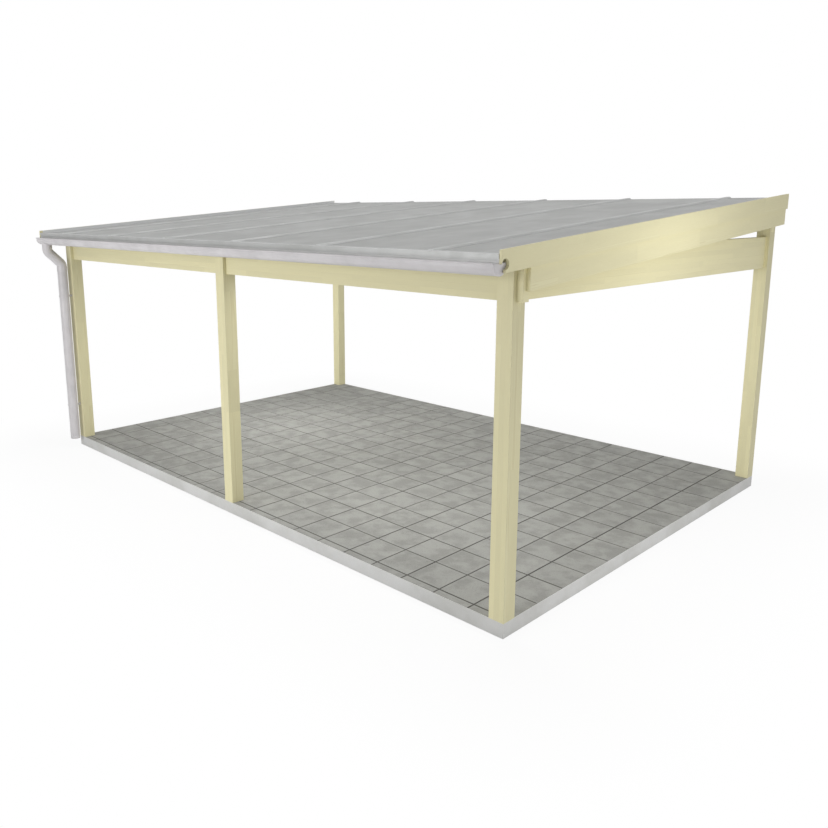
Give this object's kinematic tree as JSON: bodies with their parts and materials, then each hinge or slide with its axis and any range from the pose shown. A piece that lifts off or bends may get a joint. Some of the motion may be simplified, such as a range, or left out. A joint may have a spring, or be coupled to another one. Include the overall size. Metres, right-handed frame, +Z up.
{
  "type": "garden room frame",
  "caption": "Open lean-to garden room frame: timber posts and beams on a paved base carry a low sheet roof that falls to a gutter and downpipe at the front.",
  "frame": {"origin": "centre of the base's underside, on the ground", "axes": "+X along the front to the right as seen from the front, +Y to the rear, +Z up"},
  "size_m": [6.16, 4.2535, 2.7578],
  "materials": {
    "base_concrete": "smooth cast concrete, pale grey",
    "paving_tiles": "grey concrete paving tiles",
    "timber": "planed laminated spruce, pale straw",
    "hanger_steel": "galvanised",
    "seal_rubber": "matte black",
    "roof_sheet": "grey multiwall sheet, satin",
    "profile_aluminium": "satin mill finish",
    "gutter_grey": "pale grey coated"
  },
  "bodies": {
    "root": {"floor_slab": "base_concrete", "paving": "paving_tiles", "post_front_right": "timber", "post_front_middle": "timber", "post_front_left": "timber", "post_rear_right": "timber", "post_rear_left": "timber", "front_beam_right": "timber", "front_beam_left": "timber", "rear_beam": "timber", "gable_beam_right": "timber", "gable_beam_left": "timber", "end_rafter_right": "timber", "end_rafter_left": "timber", "rafter_1": "timber", "rafter_2": "timber", "rafter_3": "timber", "rafter_4": "timber", "rafter_5": "timber", "rafter_6": "timber", "upper_board_right": "timber", "upper_board_left": "timber", "lower_board_right": "timber", "lower_board_left": "timber", "rafter_hangers": "hanger_steel", "gutter_brackets": "hanger_steel", "seal_strips": "seal_rubber", "roof_panel_1": "roof_sheet", "roof_panel_2": "roof_sheet", "roof_panel_3": "roof_sheet", "roof_panel_4": "roof_sheet", "roof_panel_5": "roof_sheet", "roof_panel_6": "roof_sheet", "roof_panel_7": "roof_sheet", "cap_profiles": "profile_aluminium", "eave_profile": "profile_aluminium", "rear_profile": "profile_aluminium", "gutter": "gutter_grey", "gutter_ends": "gutter_grey", "gutter_outlet": "gutter_grey", "upper_elbow": "gutter_grey", "neck_pipe": "gutter_grey", "lower_elbow": "gutter_grey", "downpipe": "gutter_grey", "pipe_clips": "gutter_grey"}
  },
  "joints": []
}
